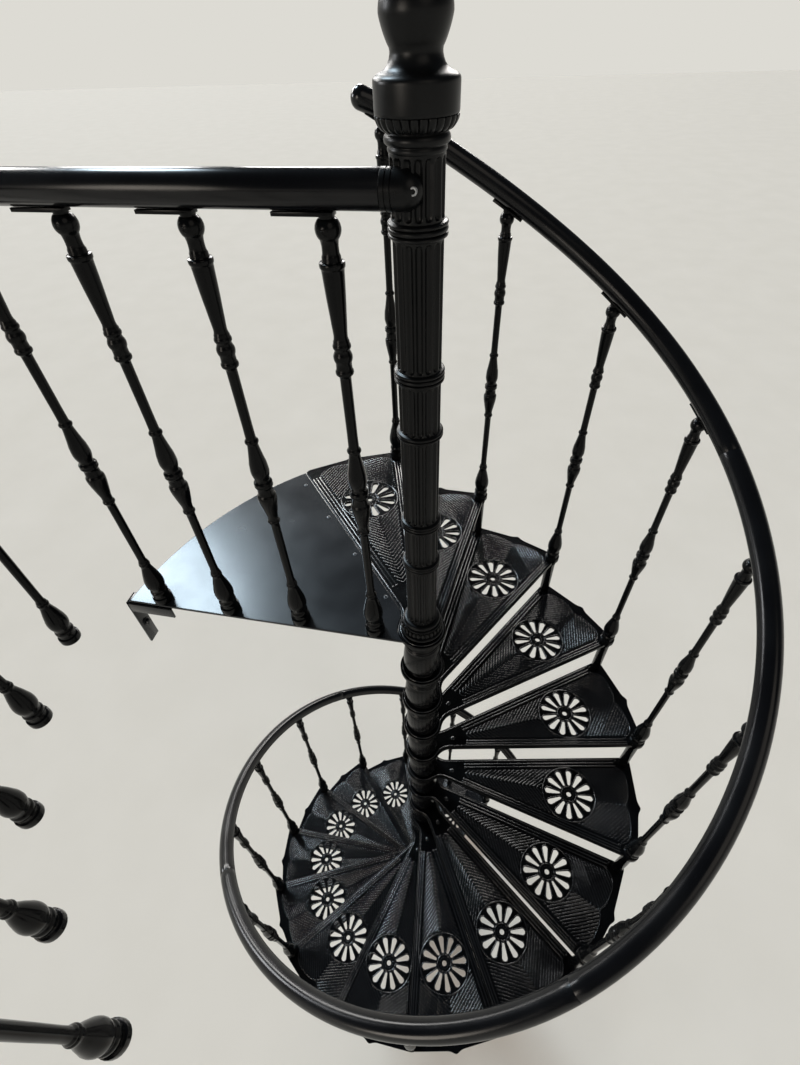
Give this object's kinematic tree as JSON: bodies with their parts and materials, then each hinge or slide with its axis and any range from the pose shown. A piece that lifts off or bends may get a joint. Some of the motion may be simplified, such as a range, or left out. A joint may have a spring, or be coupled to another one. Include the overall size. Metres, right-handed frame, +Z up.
{
  "type": "spiral staircase",
  "caption": "Spiral staircase of black-painted cast iron, with rosette-pierced treads stacked on a round column, turned balusters, a round helical handrail and a landing",
  "frame": {"origin": "on the floor, at the centre of the column and of its base plate", "axes": "+Z up along the column, -X along the landing's open edge, the stair going down clockwise seen from above"},
  "size_m": [1.8141, 1.8311, 4.686],
  "materials": {
    "black_cast_iron": "satin",
    "black_rail_tube": "satin",
    "black_steel": "satin"
  },
  "bodies": {
    "root": {"base_plate": "black_steel", "column_tube": "black_steel", "corner_bracket": "black_steel", "guard_balusters": "black_cast_iron", "guard_rail": "black_rail_tube", "landing_balusters": "black_cast_iron", "landing_ledge": "black_steel", "landing_plate": "black_steel", "landing_rail": "black_rail_tube", "landing_rail_end": "black_cast_iron", "landing_tread": "black_cast_iron", "newel": "black_cast_iron", "spiral_balusters_lower": "black_cast_iron", "spiral_balusters_middle": "black_cast_iron", "spiral_balusters_upper": "black_cast_iron", "spiral_rail_1": "black_rail_tube", "spiral_rail_2": "black_rail_tube", "spiral_rail_3": "black_rail_tube", "spiral_rail_4": "black_rail_tube", "spiral_rail_5": "black_rail_tube", "tread_01": "black_cast_iron", "tread_02": "black_cast_iron", "tread_03": "black_cast_iron", "tread_04": "black_cast_iron", "tread_05": "black_cast_iron", "tread_06": "black_cast_iron", "tread_07": "black_cast_iron", "tread_08": "black_cast_iron", "tread_09": "black_cast_iron", "tread_10": "black_cast_iron", "tread_11": "black_cast_iron", "tread_12": "black_cast_iron", "tread_13": "black_cast_iron", "tread_14": "black_cast_iron", "tread_15": "black_cast_iron", "tread_16": "black_cast_iron", "tread_17": "black_cast_iron", "tread_spacers_lower": "black_cast_iron", "tread_spacers_middle": "black_cast_iron", "tread_spacers_upper": "black_cast_iron"}
  },
  "joints": []
}
